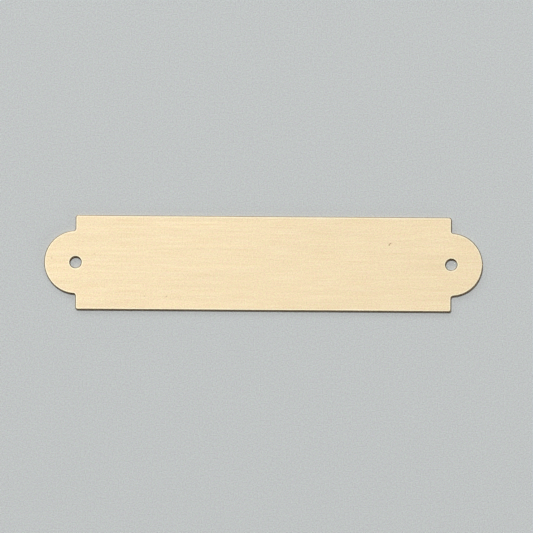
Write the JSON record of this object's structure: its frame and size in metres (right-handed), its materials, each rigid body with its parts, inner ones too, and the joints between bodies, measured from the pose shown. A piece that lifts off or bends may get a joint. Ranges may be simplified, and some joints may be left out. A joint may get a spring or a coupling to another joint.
{
  "type": "name plate",
  "caption": "Flat blank brass name plate: a long rectangle with a half-round lug and a screw hole at each end, brushed lengthwise.",
  "frame": {"origin": "centre of the flat back face", "axes": "+X along the plate from one screw hole to the other, +Y across it, +Z out of the brushed front face"},
  "size_m": [0.0888, 0.019, 0.0008],
  "materials": {
    "brushed_brass": "satin, brushed along the length"
  },
  "bodies": {
    "root": {"name_plate": "brushed_brass"}
  },
  "joints": []
}
